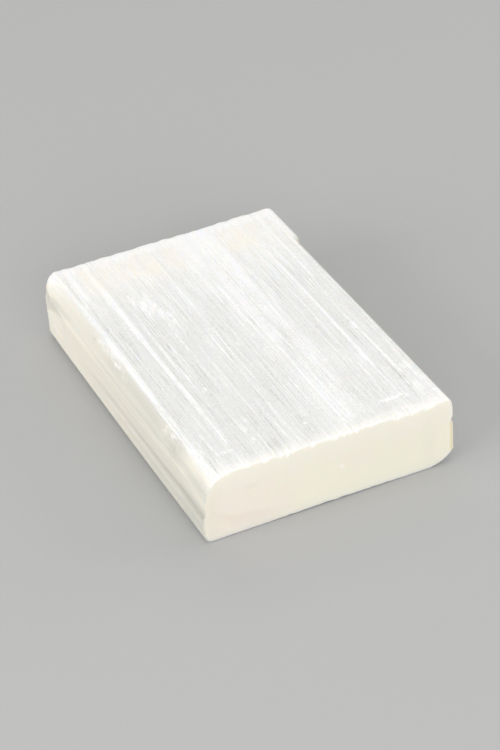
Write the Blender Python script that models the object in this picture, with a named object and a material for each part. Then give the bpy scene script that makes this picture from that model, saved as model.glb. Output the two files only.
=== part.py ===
"""Selenite slab: one rough-ground block of satin-spar gypsum, sawn square across its fibres.

The fibres run along Y, from the front end at -Y to the back end at +Y. X is across the slab
and Z is up. The origin is under the middle of the slab, on the face it rests on. The block is
lofted from cross-sections along Y, and its worn edges, ridges, seam, shoulder and flakes are
worked into those sections, so it stays one closed piece of stone. Lengths are in metres.
"""

from math import cos, pi, radians, sin, sqrt

import bmesh
import bpy
from mathutils import Vector, noise

NODE = "selenite_slab"

# Driving dimensions of the block.
LENGTH = 0.100
WIDTH = 0.066
THICKNESS = 0.0184
BACK_SKEW = 0.0010  # how far the back cut is out of square, from one side to the other

# The right side stands out in a shoulder at the back, and steps in from there to the front.
SHOULDER_DEPTH = 0.0013
SHOULDER_FOOT_Y = 0.0316
SHOULDER_CREST_Y = 0.0342
RIGHT_TAPER = 0.0001  # how far the side draws in towards the front, over the block's length
RIGHT_STRIP = 0.0050  # only this much of the width moves in with the right side

# Ground edges along the block: width, height, and how round each is, from 0, a straight
# chamfer, to 1, an elliptical arc.
TOP_RIGHT_EDGE = (0.0017, 0.0026, 0.9)
TOP_LEFT_EDGE = (0.0036, 0.0056, 0.45)
BOTTOM_LEFT_EDGE = (0.0026, 0.0024, 0.9)
BOTTOM_RIGHT_EDGE = (0.0078, 0.0037, 0.45)

# The top left edge at the front end, where it is much rounder, and at the back end, where it
# is smaller, and how far along the block each of them runs out.
TOP_LEFT_EDGE_FRONT = (0.0088, 0.0085, 1.0)
TOP_LEFT_EDGE_BACK = (0.0030, 0.0036, 0.8)
FRONT_REACH = 0.015
BACK_REACH = 0.011
TOP_LEFT_LINES = (-0.0268, -0.0283, -0.0294, -0.0303, -0.0312, -0.0320, -0.0326, -0.0330)
LEFT_SIDE_TOP = 0.0096  # the highest edge on the left side below that ground edge

# How far the wear on the edges of the sawn ends reaches along the block.
SIDE_WEAR = 0.0006
FRONT_TOP_WEAR = 0.0002
FRONT_RIGHT_WEAR = 0.0003
FRONT_BASE_WEAR = 0.0004
BACK_TOP_WEAR = 0.0012
BACK_RIGHT_WEAR = 0.0020
BACK_LEFT_WEAR = 0.0024
BACK_LEFT_CORNER_WEAR = 0.0036  # where the back end meets the top left edge
BACK_LEFT_CORNER_Z = (0.0115, 0.0155)
FRAY_WIDTH = 0.0021
FRAY_SHARE = 0.45

# Ridges of stiffer fibres on the top: crest across the slab, the width of the slope to its
# left and right, height above the ground surface, and the front and back end of the ridge.
RIDGES = (
    (-0.0294, 0.0009, 0.0011, 0.00034, -0.0520, 0.0520),
    (-0.0220, 0.0005, 0.0012, 0.00034, -0.0490, 0.0470),
    (-0.0150, 0.0012, 0.0024, 0.00016, 0.0120, 0.0400),
    (-0.0048, 0.0004, 0.0010, 0.00022, -0.0240, 0.0480),
    (0.0044, 0.0014, 0.0012, 0.00026, -0.0480, 0.0500),
    (0.0080, 0.0012, 0.0018, 0.00032, -0.0480, 0.0420),
    (0.0132, 0.0006, 0.0009, 0.00030, 0.0000, 0.0520),
    (0.0229, 0.0004, 0.0010, 0.00028, -0.0430, 0.0290),
    (0.0277, 0.0005, 0.0010, 0.00024, -0.0520, 0.0470),
)
RIDGE_FADE = 0.0080
FIELD_DROP = 0.00034  # the ground surface lies this far below the highest crest

# Splintery relief: bundles of fibres lie a little deeper or shallower than each other.
BUNDLE_WIDTH = 0.0030
BUNDLE_RUN = 0.050
BUNDLE_RELIEF = 0.00024

# The left side: the stone above the open seam lies a ledge's depth behind the stone below,
# and behind the seam's end the side is undercut.
LEDGE_DEPTH = 0.00040
LEDGE_TOP = 0.0076
SEAM_HEIGHT = 0.0066
SEAM_HALF_WIDTH = 0.0016
SEAM_DEPTH = 0.0007
SEAM_BACK_Y = 0.022
SEAM_FRONT_FADE = 0.0016
UNDERCUT_DEPTH = 0.00012
UNDERCUT_HEIGHT = 0.0125
LEFT_BOW = 0.0003  # how far the side draws in at each end
LEFT_BOW_MIDDLE_Y = 0.004

# The right side has a narrow fissure along the front half.
FISSURE_HEIGHT = 0.0120
FISSURE_HALF_WIDTH = 0.0011
FISSURE_DEPTH = 0.0004
FISSURE_FADE_Y = (-0.010, 0.0310)

# Grooves between bundles on the face it rests on: place across the slab, and half width.
BASE_GROOVES = ((-0.0235, 0.0016), (-0.0125, 0.0011), (0.0140, 0.0014), (0.0218, 0.0010))
BASE_GROOVE_DEPTH = 0.00035
BASE_GROOVE_FADE = 0.020

# Flakes struck off the block: the centre and radii of the ellipsoid that each one followed.
FLAKES = (
    ((-0.0338, 0.0070, 0.0182), (0.0034, 0.0120, 0.0040)),
    ((-0.0336, -0.0290, 0.0168), (0.0026, 0.0065, 0.0034)),
    ((-0.0345, 0.0395, 0.0146), (0.0026, 0.0075, 0.0026)),
    ((-0.0338, 0.0415, -0.0002), (0.0026, 0.0100, 0.0013)),
    ((-0.0338, 0.0265, -0.0002), (0.0026, 0.0030, 0.0012)),
    ((0.0335, -0.0180, 0.0005), (0.0040, 0.0160, 0.0028)),
    ((0.0100, 0.0512, 0.0190), (0.0130, 0.0024, 0.0014)),
    ((-0.0335, 0.0492, 0.0141), (0.0013, 0.0026, 0.0018)),
    ((0.0214, -0.0512, 0.0190), (0.0046, 0.0034, 0.0015)),
    ((0.0010, -0.0525, -0.0006), (0.0220, 0.0120, 0.0010)),
    ((-0.0120, 0.0508, -0.0008), (0.0130, 0.0022, 0.0022)),
)

# How finely the block is divided: across, up the sides, along its length, and near its ends.
TOP_STEP = 0.00165
SIDE_STEP = 0.0014
BOTTOM_STEP = 0.0034
EDGE_STEPS = 3
LONG_STEP = 0.0027
END_STEP = 0.00022
END_STEP_GROWTH = 1.5

STONE_COLOUR = (0.85, 0.84, 0.80, 1.0)
STONE_ROUGHNESS = 0.42
SHARP_ANGLE = radians(35)


def smooth_step(low, high, value):
    """0 below low, 1 above high, and a smooth rise between them."""
    share = min(max((value - low) / (high - low), 0.0), 1.0)
    return share * share * (3.0 - 2.0 * share)


def blend(first, last, share):
    return first + (last - first) * share


def line_dip(offset, half_width):
    """A smooth dip of depth 1 across a groove, from the distance to its middle line."""
    return 1.0 - smooth_step(0.0, half_width, abs(offset))


def places(start, end, step, kept):
    """Values from start to end, about a step apart, with one at each of the kept places."""
    count = round(abs(end - start) / step)
    inside = [value for value in kept if min(start, end) < value < max(start, end)]
    even = [blend(start, end, i / count) for i in range(1, count)]
    free = [value for value in even if all(abs(value - k) > step / 2 for k in inside)]
    return [start] + sorted(inside + free, reverse=end < start) + [end]


def end_distance(y):
    """How far a place along the block lies from the nearer end."""
    return LENGTH / 2 - abs(y)


def right_side(y):
    """Where the right side stands: out at the shoulder, and in from there to the front."""
    taper = RIGHT_TAPER * max(SHOULDER_FOOT_Y - y, 0.0) / LENGTH
    step = SHOULDER_DEPTH * (1.0 - smooth_step(SHOULDER_FOOT_Y, SHOULDER_CREST_Y, y))
    return WIDTH / 2 - taper - step


def edge_points(corner, edge, start_angle):
    """One ground edge as a quarter turn from start_angle, about the corner it replaces."""
    (corner_x, corner_z), (width, height, roundness) = corner, edge
    middle = start_angle + pi / 4
    centre_x = corner_x - width * (1 if cos(middle) > 0 else -1)
    centre_z = corner_z - height * (1 if sin(middle) > 0 else -1)
    points = []
    for i in range(EDGE_STEPS + 1):
        share = i / EDGE_STEPS
        angle = start_angle + share * pi / 2
        flat_x = blend(cos(start_angle), cos(start_angle + pi / 2), share)
        flat_z = blend(sin(start_angle), sin(start_angle + pi / 2), share)
        x = centre_x + width * blend(flat_x, cos(angle), roundness)
        z = centre_z + height * blend(flat_z, sin(angle), roundness)
        points.append((x, z))
    return points


def edge_drop(x, edge):
    """How far the top left edge lies below the top at a place across the slab."""
    width, height, roundness = edge
    share = min(max((width - WIDTH / 2 - x) / width, 0.0), 1.0)
    return height * blend(share, 1.0 - sqrt(1.0 - share * share), roundness)


def top_left_height(x, y):
    """The height of the top, and of its left edge, at a place across the slab."""
    end_edge, reach = (TOP_LEFT_EDGE_FRONT, FRONT_REACH) if y < 0.0 else (TOP_LEFT_EDGE_BACK, BACK_REACH)
    near_end = 1.0 - smooth_step(0.0, reach, end_distance(y))
    return THICKNESS - blend(edge_drop(x, TOP_LEFT_EDGE), edge_drop(x, end_edge), near_end)


def outline(y):
    """The plain section at y, anticlockwise from the right side, before any working."""
    left, inner = -WIDTH / 2, WIDTH / 2 - RIGHT_STRIP
    move = right_side(y) - WIDTH / 2
    top_right = edge_points((WIDTH / 2, THICKNESS), TOP_RIGHT_EDGE, 0.0)
    bottom_left = edge_points((left, 0.0), BOTTOM_LEFT_EDGE, pi)
    bottom_right = edge_points((WIDTH / 2, 0.0), BOTTOM_RIGHT_EDGE, 3 * pi / 2)
    crests = [crest + shift for crest, *widths in RIDGES for shift in (-widths[0], 0.0, widths[1])]
    grooves = [at + shift for at, half in BASE_GROOVES for shift in (-half, 0.0, half)]
    seam = [SEAM_HEIGHT + shift for shift in (-SEAM_HALF_WIDTH, 0.0, SEAM_HALF_WIDTH)]
    fissure = [FISSURE_HEIGHT + shift for shift in (-FISSURE_HALF_WIDTH, 0.0, FISSURE_HALF_WIDTH)]
    top = places(top_right[-1][0], TOP_LEFT_LINES[0], TOP_STEP, crests)[1:-1]
    down = places(LEFT_SIDE_TOP, bottom_left[0][1], SIDE_STEP, seam)[:-1]
    below = places(bottom_left[-1][0], bottom_right[0][0], BOTTOM_STEP, grooves)[1:-1]
    up = places(bottom_right[-1][1], top_right[0][1], SIDE_STEP, fissure)[1:-1]
    ring = top_right + [(x, top_left_height(x, y)) for x in (*top, *TOP_LEFT_LINES)]
    ring += [(left, z) for z in down] + bottom_left + [(x, 0.0) for x in below]
    ring += bottom_right + [(WIDTH / 2, z) for z in up]
    return [(x + move * max(x - inner, 0.0) / RIGHT_STRIP, z) for x, z in ring]


def outward(ring, index):
    """The outward direction of an anticlockwise section at one of its points."""
    before, after = ring[index - 1], ring[(index + 1) % len(ring)]
    return Vector((after[1] - before[1], 0.0, before[0] - after[0])).normalized()


def flake_depth(point, inward):
    """How deep the deepest flake cuts below point, measured along inward."""
    deepest = 0.0
    for centre, radii in FLAKES:
        offset = Vector([(p - c) / r for p, c, r in zip(point, centre, radii)])
        course = Vector([d / r for d, r in zip(inward, radii)])
        if offset.length >= 1.0:
            continue
        a, b, c = course.dot(course), offset.dot(course), offset.dot(offset) - 1.0
        deepest = max(deepest, (sqrt(b * b - a * c) - b) / a)
    return deepest


def end_wear(point, facing):
    """How far the worn edge of the nearer sawn end draws the surface in at a point."""
    x, y, z = point
    fray = 1.0 + FRAY_SHARE * noise.noise((x / FRAY_WIDTH, y, z / FRAY_WIDTH))
    if y < 0.0:
        wear = blend(SIDE_WEAR, FRONT_TOP_WEAR, max(facing.z, 0.0)) * fray
        wear = blend(wear, FRONT_RIGHT_WEAR, max(facing.x, 0.0))
        wear = blend(wear, FRONT_BASE_WEAR, max(-facing.z, 0.0))
    else:
        wear = blend(SIDE_WEAR, BACK_TOP_WEAR, max(facing.z, 0.0)) * fray
        wear = blend(wear, BACK_RIGHT_WEAR, max(facing.x, 0.0))
        left_wear = blend(BACK_LEFT_WEAR, BACK_LEFT_CORNER_WEAR, smooth_step(*BACK_LEFT_CORNER_Z, z))
        wear = blend(wear, left_wear, max(-facing.x, 0.0))
    short = min(max(wear - end_distance(y), 0.0), wear)
    return wear - sqrt(wear**2 - short**2)


def bundle_relief(point):
    """How deep the surface lies between the long highs and lows that follow the fibres."""
    x, y, z = point
    level = noise.noise((x / BUNDLE_WIDTH, y / BUNDLE_RUN, z / BUNDLE_WIDTH))
    return BUNDLE_RELIEF * (0.5 + 0.5 * level)


def ridge_rise(point):
    """How far the highest ridge at this place on the top stands above the ground surface."""
    x, y, _ = point
    rise = 0.0
    for crest, left_width, right_width, height, front, back in RIDGES:
        across = line_dip(x - crest, left_width if x < crest else right_width)
        along = smooth_step(front, front + RIDGE_FADE, y) * smooth_step(-back, RIDGE_FADE - back, -y)
        rise = max(rise, height * across * along)
    return rise


def side_depth(point, facing):
    """The ledge and seam on the left side and the fissure on the right, as a depth."""
    _, y, z = point
    if facing.x > 0.5:
        grown = 1.0 - smooth_step(*FISSURE_FADE_Y, y)
        return FISSURE_DEPTH * grown * line_dip(z - FISSURE_HEIGHT, FISSURE_HALF_WIDTH)
    grown = 1.0 - smooth_step(-LENGTH / 2, SEAM_BACK_Y, y)
    open_share = sqrt(grown) * smooth_step(0.0, SEAM_FRONT_FADE, end_distance(y))
    seam = SEAM_DEPTH * open_share * line_dip(z - SEAM_HEIGHT, SEAM_HALF_WIDTH)
    ledge = LEDGE_DEPTH * grown * smooth_step(SEAM_HEIGHT, LEDGE_TOP, z)
    undercut = UNDERCUT_DEPTH * (1.0 - grown) * (1.0 - smooth_step(0.0, UNDERCUT_HEIGHT, z))
    bow = LEFT_BOW * ((y - LEFT_BOW_MIDDLE_Y) / (LENGTH / 2)) ** 2
    return seam + ledge + undercut + bow


def base_grooves(point):
    """The grooves between bundles on the resting face, as a depth that fades at both ends."""
    x, y, _ = point
    fade = smooth_step(0.0, BASE_GROOVE_FADE, end_distance(y))
    return BASE_GROOVE_DEPTH * fade * max(line_dip(x - at, half) for at, half in BASE_GROOVES)


def worked_point(point, facing):
    """A point of the plain section, moved in by everything that shapes the surface."""
    depth = end_wear(point, facing) + flake_depth(point, -facing)
    depth += side_depth(point, facing) * smooth_step(0.5, 1.0, abs(facing.x))
    if facing.z < -0.9:
        depth += base_grooves(point)
    else:
        below_crest = 1.0 - max(facing.z, 0.0) * ridge_rise(point) / FIELD_DROP
        depth += bundle_relief(point) * below_crest * min(1.0, 1.0 + facing.z)
        depth += (FIELD_DROP - ridge_rise(point)) * max(facing.z, 0.0)
    return point - facing * depth


def skewed(point):
    """The back end, and less and less of the block in front of it, turned out of square."""
    share = (point.y + LENGTH / 2) / LENGTH
    point.y += BACK_SKEW * share * (point.x / WIDTH - 0.5)
    return point


def stations():
    """Places of the sections along Y: close together at the ends, and even between."""
    near, step = [0.0], END_STEP
    while step < LONG_STEP:
        near.append(near[-1] + step)
        step *= END_STEP_GROWTH
    front = [-LENGTH / 2 + distance for distance in near]
    back = [LENGTH / 2 - distance for distance in reversed(near)]
    return front + places(front[-1], back[0], LONG_STEP, [])[1:-1] + back


def loft(mesh):
    """Fills a mesh with the skin through every section, and the two flat sawn ends."""
    shape = bmesh.new()
    rings = []
    for y in stations():
        plain = outline(y)
        ring = []
        for i, (x, z) in enumerate(plain):
            point = worked_point(Vector((x, y, z)), outward(plain, i))
            ring.append(shape.verts.new(skewed(point)))
        rings.append(ring)
    for ring, next_ring in zip(rings, rings[1:]):
        for i, vert in enumerate(ring):
            shape.faces.new((vert, ring[i - 1], next_ring[i - 1], next_ring[i]))
    shape.faces.new(rings[0])
    shape.faces.new(reversed(rings[-1]))
    bmesh.ops.recalc_face_normals(shape, faces=shape.faces)
    shape.to_mesh(mesh)
    shape.free()


def stone_material():
    """Milky white gypsum with a silky polish."""
    stone = bpy.data.materials.new("satin_spar")
    stone.use_nodes = True
    shader = stone.node_tree.nodes["Principled BSDF"]
    shader.inputs["Base Color"].default_value = STONE_COLOUR
    shader.inputs["Roughness"].default_value = STONE_ROUGHNESS
    shader.inputs["Metallic"].default_value = 0.0
    return stone


def main():
    for thing in list(bpy.data.objects):
        bpy.data.objects.remove(thing)
    collection = bpy.data.collections.new("Selenite slab")
    bpy.context.scene.collection.children.link(collection)
    mesh = bpy.data.meshes.new(NODE)
    loft(mesh)
    mesh.shade_smooth()
    mesh.set_sharp_from_angle(angle=SHARP_ANGLE)
    mesh.materials.append(stone_material())
    slab = bpy.data.objects.new(NODE, mesh)
    collection.objects.link(slab)


main()
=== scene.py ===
"""Selenite slab: one rough-ground block of satin-spar gypsum, sawn square across its fibres.

The fibres run along Y, from the front end at -Y to the back end. X is across the slab and Z
is up. The origin is under its middle, on the face it rests on. Lengths are in metres, and
colours are linear.
"""

from math import cos, pi, radians, sin, sqrt

import bpy
from mathutils import Euler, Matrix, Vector, noise


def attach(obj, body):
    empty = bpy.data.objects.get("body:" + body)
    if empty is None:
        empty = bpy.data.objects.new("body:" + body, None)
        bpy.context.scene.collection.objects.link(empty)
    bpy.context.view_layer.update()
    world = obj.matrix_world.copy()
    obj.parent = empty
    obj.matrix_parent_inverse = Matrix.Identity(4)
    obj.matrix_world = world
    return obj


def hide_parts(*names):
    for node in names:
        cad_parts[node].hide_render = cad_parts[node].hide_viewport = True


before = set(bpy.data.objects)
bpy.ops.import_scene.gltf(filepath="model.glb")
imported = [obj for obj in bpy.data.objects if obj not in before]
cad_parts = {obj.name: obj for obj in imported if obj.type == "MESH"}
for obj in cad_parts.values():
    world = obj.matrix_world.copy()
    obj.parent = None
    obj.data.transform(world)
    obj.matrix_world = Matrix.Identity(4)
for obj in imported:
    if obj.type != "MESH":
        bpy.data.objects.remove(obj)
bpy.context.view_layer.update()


# ---- The slab: its outline
# The slab is one block of gypsum, grown as a bundle of parallel fibres along Y. It was sawn
# across the fibres at both ends, and its four long sides were ground and then worn in use.
# Each section across the fibres starts as this plain outline, which runs anticlockwise.

LENGTH = 0.1
WIDTH = 0.066
THICKNESS = 0.0184
BACK_SKEW = 0.001  # how far the back cut is out of square, from one side to the other

# The right side has a shoulder at the back, and steps in from there to the front.
SHOULDER_DEPTH = 0.0013
SHOULDER_FOOT_Y = 0.0316
SHOULDER_CREST_Y = 0.0342
RIGHT_TAPER = 0.0001
RIGHT_STRIP = 0.005  # only this much of the width moves in with the right side

# Ground edges: width, height, and how round, from 0, a straight chamfer, to 1, an elliptical
# arc. The top left edge changes towards both ends.
TOP_RIGHT_EDGE = (0.0017, 0.0026, 0.9)
TOP_LEFT_EDGE = (0.0036, 0.0056, 0.45)
BOTTOM_LEFT_EDGE = (0.0026, 0.0024, 0.9)
BOTTOM_RIGHT_EDGE = (0.0078, 0.0037, 0.45)
TOP_LEFT_EDGE_FRONT = (0.0088, 0.0085, 1.0)
TOP_LEFT_EDGE_BACK = (0.003, 0.0036, 0.8)
FRONT_REACH = 0.015
BACK_REACH = 0.011

# How many points each stretch of the outline has. Those of the top left edge start at this
# place across the slab, and come closer together towards the left.
TOP_LEFT_START_X = -0.0268
TOP_RIGHT_STEPS = 10
TOP_STEPS = 336
TOP_LEFT_STEPS = 34
LEFT_STEPS = 46
BOTTOM_LEFT_STEPS = 12
BOTTOM_STEPS = 70
BOTTOM_RIGHT_STEPS = 22
RIGHT_STEPS = 40

# The fibres drift sideways by up to this much along their run, and less near the slab's edges.
DRIFT = 0.00028
DRIFT_WIDTH = 0.005
DRIFT_RUN = 0.03
DRIFT_HOLD = 0.006
TOP_MIDDLE_X = -0.0005


def ramp(low, high, value):
    """0 below low, 1 above high, and a smooth rise between them."""
    share = min(max((value - low) / (high - low), 0.0), 1.0)
    return share * share * (3.0 - 2.0 * share)


def blend(first, last, share):
    return first + (last - first) * share


def end_distance(y):
    """How far a place along the block lies from the nearer end."""
    return LENGTH / 2 - abs(y)


def right_side(y):
    """Where the right side stands: out at the shoulder, and in from there to the front."""
    taper = RIGHT_TAPER * max(SHOULDER_FOOT_Y - y, 0.0) / LENGTH
    step = SHOULDER_DEPTH * (1.0 - ramp(SHOULDER_FOOT_Y, SHOULDER_CREST_Y, y))
    return WIDTH / 2 - taper - step


def edge_points(corner, edge, start_angle, steps):
    """One ground edge as a quarter turn from start_angle, about the corner it replaces."""
    (corner_x, corner_z), (width, height, roundness) = corner, edge
    middle = start_angle + pi / 4
    centre_x = corner_x - width * (1 if cos(middle) > 0 else -1)
    centre_z = corner_z - height * (1 if sin(middle) > 0 else -1)
    points = []
    for i in range(steps + 1):
        share = i / steps
        angle = start_angle + share * pi / 2
        flat_x = blend(cos(start_angle), cos(start_angle + pi / 2), share)
        flat_z = blend(sin(start_angle), sin(start_angle + pi / 2), share)
        x = centre_x + width * blend(flat_x, cos(angle), roundness)
        z = centre_z + height * blend(flat_z, sin(angle), roundness)
        points.append((x, z))
    return points


def edge_drop(x, edge):
    """How far the top left edge lies below the top at a place across the slab."""
    width, height, roundness = edge
    share = min(max((width - WIDTH / 2 - x) / width, 0.0), 1.0)
    return height * blend(share, 1.0 - sqrt(1.0 - share * share), roundness)


def top_left_height(x, y):
    """The height of the top, and of its left edge, at a place across the slab."""
    end_edge = TOP_LEFT_EDGE_FRONT if y < 0.0 else TOP_LEFT_EDGE_BACK
    near_end = 1.0 - ramp(0.0, FRONT_REACH if y < 0.0 else BACK_REACH, end_distance(y))
    return THICKNESS - blend(edge_drop(x, TOP_LEFT_EDGE), edge_drop(x, end_edge), near_end)


def evenly(start, end, steps):
    """The values between start and end that cut the stretch into equal steps."""
    return [blend(start, end, i / steps) for i in range(1, steps)]


def drifted(x, y):
    """Where a fibre of the top that starts at x lies at y, held still at the slab's edges."""
    held = ramp(0.0, DRIFT_HOLD, WIDTH / 2 - abs(x - TOP_MIDDLE_X))
    return x + held * DRIFT * noise.noise((x / DRIFT_WIDTH, y / DRIFT_RUN, 4.7))


def outline(y):
    """The plain section at y, anticlockwise from the right side, before any working."""
    left, inner = -WIDTH / 2, WIDTH / 2 - RIGHT_STRIP
    move = right_side(y) - WIDTH / 2
    top_right = edge_points((WIDTH / 2, THICKNESS), TOP_RIGHT_EDGE, 0.0, TOP_RIGHT_STEPS)
    bottom_left = edge_points((left, 0.0), BOTTOM_LEFT_EDGE, pi, BOTTOM_LEFT_STEPS)
    bottom_right = edge_points((WIDTH / 2, 0.0), BOTTOM_RIGHT_EDGE, 3 * pi / 2, BOTTOM_RIGHT_STEPS)
    across = [drifted(x, y) for x in evenly(top_right[-1][0], TOP_LEFT_START_X, TOP_STEPS)]
    span = WIDTH / 2 + TOP_LEFT_START_X
    turns = [pi / 2 * i / TOP_LEFT_STEPS for i in range(TOP_LEFT_STEPS + 1)]
    across += [TOP_LEFT_START_X - span * sin(turn) for turn in turns]
    ring = top_right + [(x, top_left_height(x, y)) for x in across]
    ring += [(left, z) for z in evenly(ring[-1][1], bottom_left[0][1], LEFT_STEPS)]
    base = evenly(bottom_left[-1][0], bottom_right[0][0], BOTTOM_STEPS)
    ring += bottom_left + [(x, 0.0) for x in base] + bottom_right
    ring += [(WIDTH / 2, z) for z in evenly(bottom_right[-1][1], top_right[0][1], RIGHT_STEPS)]
    return [(x + move * max(x - inner, 0.0) / RIGHT_STRIP, z) for x, z in ring]


# ---- The slab: its wear
# Flakes have come off its edges, stiffer fibres stand up in low ridges, and an open seam runs
# along the left side. This is how deep each lies below the plain outline.

# How far the wear on the edges of the sawn ends reaches along the block.
SIDE_WEAR = 0.00035
FRONT_LEFT_WEAR = 0.0005
FRONT_LEFT_CORNER_Z = (0.0115, 0.015)
FRONT_LEFT_CORNER_TURN = (0.1, 0.45)
FRONT_TOP_WEAR = 0.0002
FRONT_RIGHT_WEAR = 0.0003
FRONT_BASE_WEAR = 0.0004
BACK_SIDE_WEAR = 0.0006
BACK_TOP_WEAR = 0.0012
BACK_RIGHT_WEAR = 0.002
BACK_LEFT_WEAR = 0.0024
BACK_LEFT_CORNER_WEAR = 0.0036
BACK_LEFT_CORNER_Z = (0.0115, 0.0155)
FRAY_WIDTH = 0.0021
FRAY_SHARE = 0.45

# Small chips along the front edge of the top, where the saw left the fibres: the width and
# share of the chips and of the broken stretches, how far the deepest reaches, and where they
# die out, towards the corners and as the surface turns.
CHIP_WIDTH = 0.0012
CHIP_NARROW = 0.9
CHIP_STRETCH = 0.0042
CHIP_BROAD = 0.7
CHIP_DEPTH = 0.0017
CHIP_END_X = (0.029, 0.0262)
CHIP_TURN = (0.5, 0.95)

# Ridges of stiffer fibres on the top: place of the crest across the slab, widths of the slopes
# to its left and right, height, and front and back end.
RIDGES = (
    (-0.0294, 0.0009, 0.0016, 0.00028, -0.052, 0.052),
    (-0.0214, 0.0009, 0.0022, 0.00016, -0.049, 0.047),
    (-0.015, 0.0012, 0.0024, 0.0001, 0.012, 0.04),
    (-0.0048, 0.0005, 0.0018, 0.00008, -0.024, 0.048),
    (0.0052, 0.002, 0.003, 0.00016, -0.048, 0.05),
    (0.012, 0.0028, 0.0026, 0.00014, -0.02, 0.052),
    (0.0219, 0.0006, 0.002, 0.0001, -0.043, 0.029),
    (0.0266, 0.0016, 0.0022, 0.00006, -0.052, 0.047),
)
RIDGE_FADE = 0.008
FIELD_DROP = 0.00034

# Relief along the fibres: width, run and depth of the broad bundles, and of the splinters and
# single fibres in them.
BUNDLE_WIDTH = 0.003
BUNDLE_RUN = 0.05
BUNDLE_RELIEF = 0.00012
SPLINTER_WIDTH = 0.0011
SPLINTER_RUN = 0.034
SPLINTER_RELIEF = 0.000032
FIBRE_WIDTH = 0.00045
FIBRE_RUN = 0.016
FIBRE_RELIEF = 0.000022

# The left side: the stone above the open seam lies a ledge's depth behind the stone below,
# and behind the seam's end the side is undercut.
LEDGE_DEPTH = 0.0004
LEDGE_TOP = 0.0076
SEAM_HEIGHT = 0.0066
SEAM_HALF_WIDTH = 0.0016
SEAM_DEPTH = 0.0007
SEAM_BACK_Y = 0.022
SEAM_FRONT_FADE = 0.0016
UNDERCUT_DEPTH = 0.00012
UNDERCUT_HEIGHT = 0.0125
LEFT_BOW = 0.0003
LEFT_BOW_MIDDLE_Y = 0.004

# The right side has a narrow fissure along the front half.
FISSURE_HEIGHT = 0.012
FISSURE_HALF_WIDTH = 0.0011
FISSURE_DEPTH = 0.0004
FISSURE_FADE_Y = (-0.01, 0.031)

# Grooves between bundles on the face it rests on: place across the slab, and half width.
BASE_GROOVES = ((-0.0235, 0.0016), (-0.0125, 0.0011), (0.014, 0.0014), (0.0218, 0.001))
BASE_GROOVE_DEPTH = 0.00035
BASE_GROOVE_FADE = 0.02

# Flakes struck off the block: the centre and radii of the ellipsoid that each one followed.
# Their floors are splintery and lie above it, by shares of its depth.
FLAKE_SHARE = 0.35
FLAKE_SPLINTERS = 0.4
FLAKE_FIBRES = 0.25
FLAKES = (
    ((-0.0338, 0.007, 0.0182), (0.0034, 0.012, 0.004)),
    ((-0.0336, -0.029, 0.0168), (0.0026, 0.0065, 0.0034)),
    ((-0.0345, 0.0405, 0.0098), (0.0022, 0.0085, 0.0062)),
    ((-0.0338, 0.0415, -0.0002), (0.0026, 0.01, 0.0013)),
    ((-0.0338, 0.0265, -0.0002), (0.0026, 0.003, 0.0012)),
    ((0.0335, -0.018, 0.0005), (0.004, 0.016, 0.0028)),
    ((0.01, 0.0512, 0.019), (0.013, 0.0024, 0.0014)),
    ((-0.0337, 0.0472, 0.0138), (0.0014, 0.0026, 0.002)),
    ((0.0206, -0.0514, 0.019), (0.005, 0.0036, 0.002)),
    ((0.001, -0.0525, -0.0006), (0.022, 0.012, 0.001)),
    ((-0.012, 0.0508, -0.0008), (0.013, 0.0022, 0.0022)),
)

# Wear at the sawn ends draws the surface in towards a core inside the block: half its width,
# its lowest and highest place, and the largest share of the way that it goes.
CORE_HALF_WIDTH = WIDTH / 2 - 0.0092
CORE_Z = (0.0045, 0.0135)
CORE_LIMIT = 0.94
OUTWARD_REACH = 5  # points to each side that set the outward direction, so that none cross
FLANK_TURN = (0.5, 1.0)  # how far a side has turned where its seam and fissure come in
BASE_TURN = -0.9  # below this, a surface belongs to the face it rests on


def line_dip(offset, half_width):
    """A smooth dip of depth 1 across a groove, from the distance to its middle line."""
    return 1.0 - ramp(0.0, half_width, abs(offset))


def outward(ring, index):
    """The outward direction of an anticlockwise section near one of its points."""
    before, after = ring[index - OUTWARD_REACH], ring[(index + OUTWARD_REACH) % len(ring)]
    return Vector((after[1] - before[1], 0.0, before[0] - after[0])).normalized()


def grain(point, width, run, seed=0.0):
    """A slow change from -1 to 1 that is width across the fibres and run along them."""
    x, y, z = point
    return noise.noise((x / width + seed, y / run + seed, z / width))


def splinters(point):
    """Long flat splinters, each lying at its own depth from 0 to 1."""
    x, y, z = point
    place = Vector((x / SPLINTER_WIDTH, y / SPLINTER_RUN, z / SPLINTER_WIDTH))
    _, cells = noise.voronoi(place)
    return 0.5 + 0.5 * noise.cell(cells[0] * 7.3)


def drawn_in(point, distance, core_low, core_high):
    """A point moved in by a distance towards the core, so that the points never cross."""
    core_x = min(max(point.x, -CORE_HALF_WIDTH), CORE_HALF_WIDTH)
    inward = Vector((core_x, point.y, min(max(point.z, core_low), core_high))) - point
    return point + inward * min(distance / inward.length, CORE_LIMIT)


def flake_depth(point, inward):
    """How deep the deepest flake cuts below point, measured along inward."""
    deepest = 0.0
    for centre, radii in FLAKES:
        offset = Vector([(p - c) / r for p, c, r in zip(point, centre, radii)])
        if offset.length >= 1.0:
            continue
        course = Vector([d / r for d, r in zip(inward, radii)])
        a, b, c = course.dot(course), offset.dot(course), offset.dot(offset) - 1.0
        deepest = max(deepest, (sqrt(b * b - a * c) - b) / a)
    if deepest == 0.0:
        return 0.0
    share = FLAKE_SHARE + FLAKE_SPLINTERS * splinters(point)
    share += FLAKE_FIBRES * grain(point, FIBRE_WIDTH, FIBRE_RUN, 3.0)
    return deepest * share


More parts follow.
